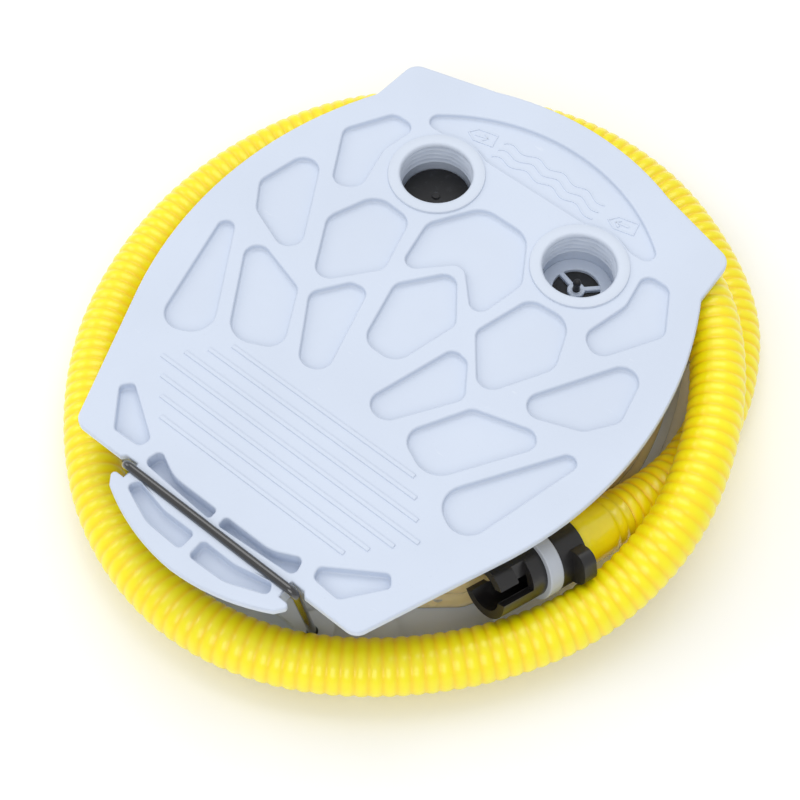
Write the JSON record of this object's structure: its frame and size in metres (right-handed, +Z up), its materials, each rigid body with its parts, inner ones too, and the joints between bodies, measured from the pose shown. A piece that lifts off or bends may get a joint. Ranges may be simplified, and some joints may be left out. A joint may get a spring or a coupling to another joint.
{
  "type": "bellows foot pump",
  "caption": "Flat bellows foot pump: honeycomb pedal plate hinged on a wire over a base plate, with inflate and deflate ports and a ribbed hose wound round it.",
  "frame": {"origin": "middle of the pump's box, on the surface it stands on, measured without the stored hose", "axes": "+Z up out of the tread, +Y to the wide end with the two ports, -Y to the hinge wire, +X to the inlet port's side"},
  "size_m": [0.3252, 0.355, 0.0665],
  "materials": {
    "plate": "satin moulded",
    "wire": "gloss black",
    "bellows": "glossy flexible sheet",
    "screw": "zinc plated",
    "spring": "oiled",
    "hose": "gloss ribbed",
    "cuff": "smooth",
    "black_plastic": "satin",
    "washer": "smooth",
    "rubber": "smooth"
  },
  "bodies": {
    "base": {"base_plate": "plate", "hinge_wire": "wire", "bellows": "bellows", "base_clamp_frame": "plate", "base_frame_screws": "screw", "return_spring": "spring", "hose": "hose", "nozzle_cuff": "cuff", "nozzle_body": "black_plastic", "nozzle_washer": "washer", "plug_cuff": "cuff", "plug_body": "black_plastic", "plug_washer": "rubber"},
    "pedal": {"pedal_plate": "plate", "pedal_clamp_frame": "plate", "pedal_frame_screws": "screw", "outlet_socket": "plate", "inlet_socket": "plate", "outlet_gasket": "rubber", "inlet_gasket": "rubber", "outlet_ring_nut": "plate", "inlet_ring_nut": "plate"},
    "outlet_valve": {"outlet_flap": "rubber"},
    "inlet_valve": {"inlet_flap": "rubber"}
  },
  "joints": [
    {"name": "pedal_hinge", "type": "hinge", "parent": "base", "child": "pedal", "pos_m": [0, -0.127, 0.0645], "axis": [1, 0, 0], "range_deg": [0, 32], "deforming": ["bellows", "return_spring"]},
    {"name": "outlet_flap_lift", "type": "slide", "parent": "pedal", "child": "outlet_valve", "axis": [0, 0, 1], "range_m": [0, 0.003]},
    {"name": "inlet_flap_drop", "type": "slide", "parent": "pedal", "child": "inlet_valve", "axis": [0, 0, -1], "range_m": [0, 0.003], "stiffness_N_per_m": 40, "springref_m": -0.0006}
  ]
}
